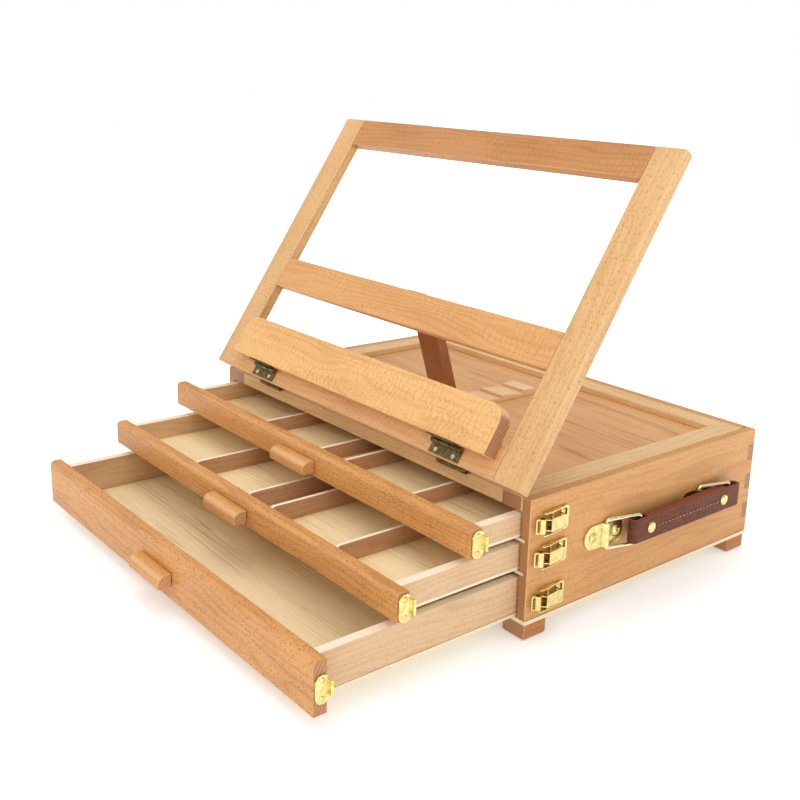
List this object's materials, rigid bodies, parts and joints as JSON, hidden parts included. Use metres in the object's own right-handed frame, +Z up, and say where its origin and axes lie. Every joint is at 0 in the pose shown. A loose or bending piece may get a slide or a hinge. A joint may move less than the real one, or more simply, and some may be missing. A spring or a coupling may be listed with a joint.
{
  "type": "french box easel",
  "caption": "Table-top beech box easel with drawers, a tilting canvas frame with fold-out ledge and prop, brass latches and a leather carrying handle.",
  "frame": {"origin": "middle of the footprint with the drawers standing open as at rest, on the table", "axes": "+X to the right seen from the front, +Y from the drawers to the back, +Z up"},
  "size_m": [0.4244, 0.453, 0.3387],
  "materials": {
    "pale_beech": "clear-lacquered pale beech with fine flecks along the grain",
    "tan_beech": "clear-lacquered orange-tan beech with dark flecks",
    "inner_beech": "bare pale beech inside the drawers",
    "plywood": "thin light plywood with long grain lines",
    "bright_brass": "polished brass plating",
    "antique_brass": "antique greenish brass",
    "ring_wire": "bright plated wire",
    "leather": "reddish-brown grained leather with a stitched line"
  },
  "bodies": {
    "case": {"back_left_foot": "tan_beech", "back_right_foot": "tan_beech", "back_rim_rail": "tan_beech", "back_wall": "tan_beech", "base_panel": "plywood", "bottom_latch_base": "bright_brass", "front_handle_plate": "bright_brass", "front_left_foot": "tan_beech", "front_right_foot": "tan_beech", "front_rim_rail": "tan_beech", "left_frame_hinge_fixed_leaf": "antique_brass", "left_rim_rail": "tan_beech", "left_side": "tan_beech", "lower_shelf": "plywood", "middle_latch_base": "bright_brass", "prop_rack": "pale_beech", "rear_handle_plate": "bright_brass", "right_frame_hinge_fixed_leaf": "antique_brass", "right_rim_rail": "tan_beech", "right_side": "tan_beech", "top_latch_base": "bright_brass", "tray_panel": "plywood", "upper_shelf": "plywood"},
    "easel_frame": {"bottom_rail": "tan_beech", "left_frame_hinge_moving_leaf": "antique_brass", "left_ledge_hinge_fixed_leaf": "antique_brass", "left_stile": "pale_beech", "middle_rail": "tan_beech", "prop_hinge_fixed_leaf": "antique_brass", "right_frame_hinge_moving_leaf": "antique_brass", "right_ledge_hinge_fixed_leaf": "antique_brass", "right_stile": "pale_beech", "top_rail": "tan_beech"},
    "ledge": {"ledge_board": "tan_beech", "left_ledge_hinge_moving_leaf": "antique_brass", "right_ledge_hinge_moving_leaf": "antique_brass"},
    "prop": {"prop_hinge_moving_leaf": "antique_brass", "prop_slat": "tan_beech"},
    "top_drawer": {"top_catch": "bright_brass", "top_drawer_box": "inner_beech", "top_drawer_front": "tan_beech", "top_drawer_pull": "tan_beech"},
    "top_lever": {"top_latch_lever": "bright_brass"},
    "top_claw": {"top_latch_claw": "bright_brass"},
    "middle_drawer": {"middle_catch": "bright_brass", "middle_drawer_box": "inner_beech", "middle_drawer_front": "tan_beech", "middle_drawer_pull": "tan_beech"},
    "middle_lever": {"middle_latch_lever": "bright_brass"},
    "middle_claw": {"middle_latch_claw": "bright_brass"},
    "bottom_drawer": {"bottom_catch": "bright_brass", "bottom_drawer_bottom": "plywood", "bottom_drawer_box": "inner_beech", "bottom_drawer_front": "tan_beech", "bottom_drawer_pull": "tan_beech"},
    "bottom_lever": {"bottom_latch_lever": "bright_brass"},
    "bottom_claw": {"bottom_latch_claw": "bright_brass"},
    "front_ring": {"front_handle_ring": "ring_wire"},
    "rear_ring": {"rear_handle_ring": "ring_wire"},
    "strap": {"handle_strap": "leather"}
  },
  "joints": [
    {"name": "frame_hinge", "type": "hinge", "parent": "case", "child": "easel_frame", "pos_m": [-0.00721, -0.0415, 0.1075], "axis": [1, 0, 0], "range_deg": [-56.6, 15]},
    {"name": "prop_hinge", "type": "hinge", "parent": "easel_frame", "child": "prop", "pos_m": [-0.00721, 0.0229, 0.20698], "axis": [1, 0, 0], "range_deg": [-35, 130]},
    {"name": "ledge_hinge", "type": "hinge", "parent": "easel_frame", "child": "ledge", "pos_m": [-0.00721, -0.04719, 0.12503], "axis": [1, 0, 0], "range_deg": [0, 90]},
    {"name": "top_drawer_slide", "type": "slide", "parent": "case", "child": "top_drawer", "axis": [0, -1, 0], "range_m": [-0.0441, 0.1554]},
    {"name": "middle_drawer_slide", "type": "slide", "parent": "case", "child": "middle_drawer", "axis": [0, -1, 0], "range_m": [-0.1039, 0.0956]},
    {"name": "bottom_drawer_slide", "type": "slide", "parent": "case", "child": "bottom_drawer", "axis": [0, -1, 0], "range_m": [-0.1656, 0.0339]},
    {"name": "top_lever_hinge", "type": "hinge", "parent": "case", "child": "top_lever", "pos_m": [0.20039, -0.0261, 0.087], "axis": [0, 0, -1], "range_deg": [0, 100]},
    {"name": "top_claw_hinge", "type": "hinge", "parent": "top_lever", "child": "top_claw", "pos_m": [0.20219, -0.0207, 0.087], "axis": [0, 0, -1], "range_deg": [-100, 0]},
    {"name": "middle_lever_hinge", "type": "hinge", "parent": "case", "child": "middle_lever", "pos_m": [0.20039, -0.0261, 0.0623], "axis": [0, 0, -1], "range_deg": [0, 100]},
    {"name": "middle_claw_hinge", "type": "hinge", "parent": "middle_lever", "child": "middle_claw", "pos_m": [0.20219, -0.0207, 0.0623], "axis": [0, 0, -1], "range_deg": [-100, 0]},
    {"name": "bottom_lever_hinge", "type": "hinge", "parent": "case", "child": "bottom_lever", "pos_m": [0.20039, -0.0261, 0.0292], "axis": [0, 0, -1], "range_deg": [0, 100]},
    {"name": "bottom_claw_hinge", "type": "hinge", "parent": "bottom_lever", "child": "bottom_claw", "pos_m": [0.20219, -0.0207, 0.0292], "axis": [0, 0, -1], "range_deg": [-100, 0]},
    {"name": "handle_swing", "type": "hinge", "parent": "case", "child": "front_ring", "pos_m": [0.19979, 0.0389, 0.0618], "axis": [0, 0, -1], "range_deg": [0, 60]},
    {"name": "rear_ring_hinge", "type": "hinge", "parent": "case", "child": "rear_ring", "pos_m": [0.19979, 0.1499, 0.0618], "axis": [0, 0, -1], "range_deg": [0, 60]},
    {"name": "strap_hinge", "type": "hinge", "parent": "front_ring", "child": "strap", "pos_m": [0.20796, 0.06818, 0.0618], "axis": [0, 0, -1], "range_deg": [-60, 0]}
  ],
  "couplings": [
    {"joint": "prop_hinge", "follows": "frame_hinge", "ratio": -2.2862},
    {"joint": "top_claw_hinge", "follows": "top_lever_hinge", "ratio": -1},
    {"joint": "middle_claw_hinge", "follows": "middle_lever_hinge", "ratio": -1},
    {"joint": "bottom_claw_hinge", "follows": "bottom_lever_hinge", "ratio": -1},
    {"joint": "rear_ring_hinge", "follows": "handle_swing", "ratio": 1},
    {"joint": "strap_hinge", "follows": "handle_swing", "ratio": -1}
  ]
}
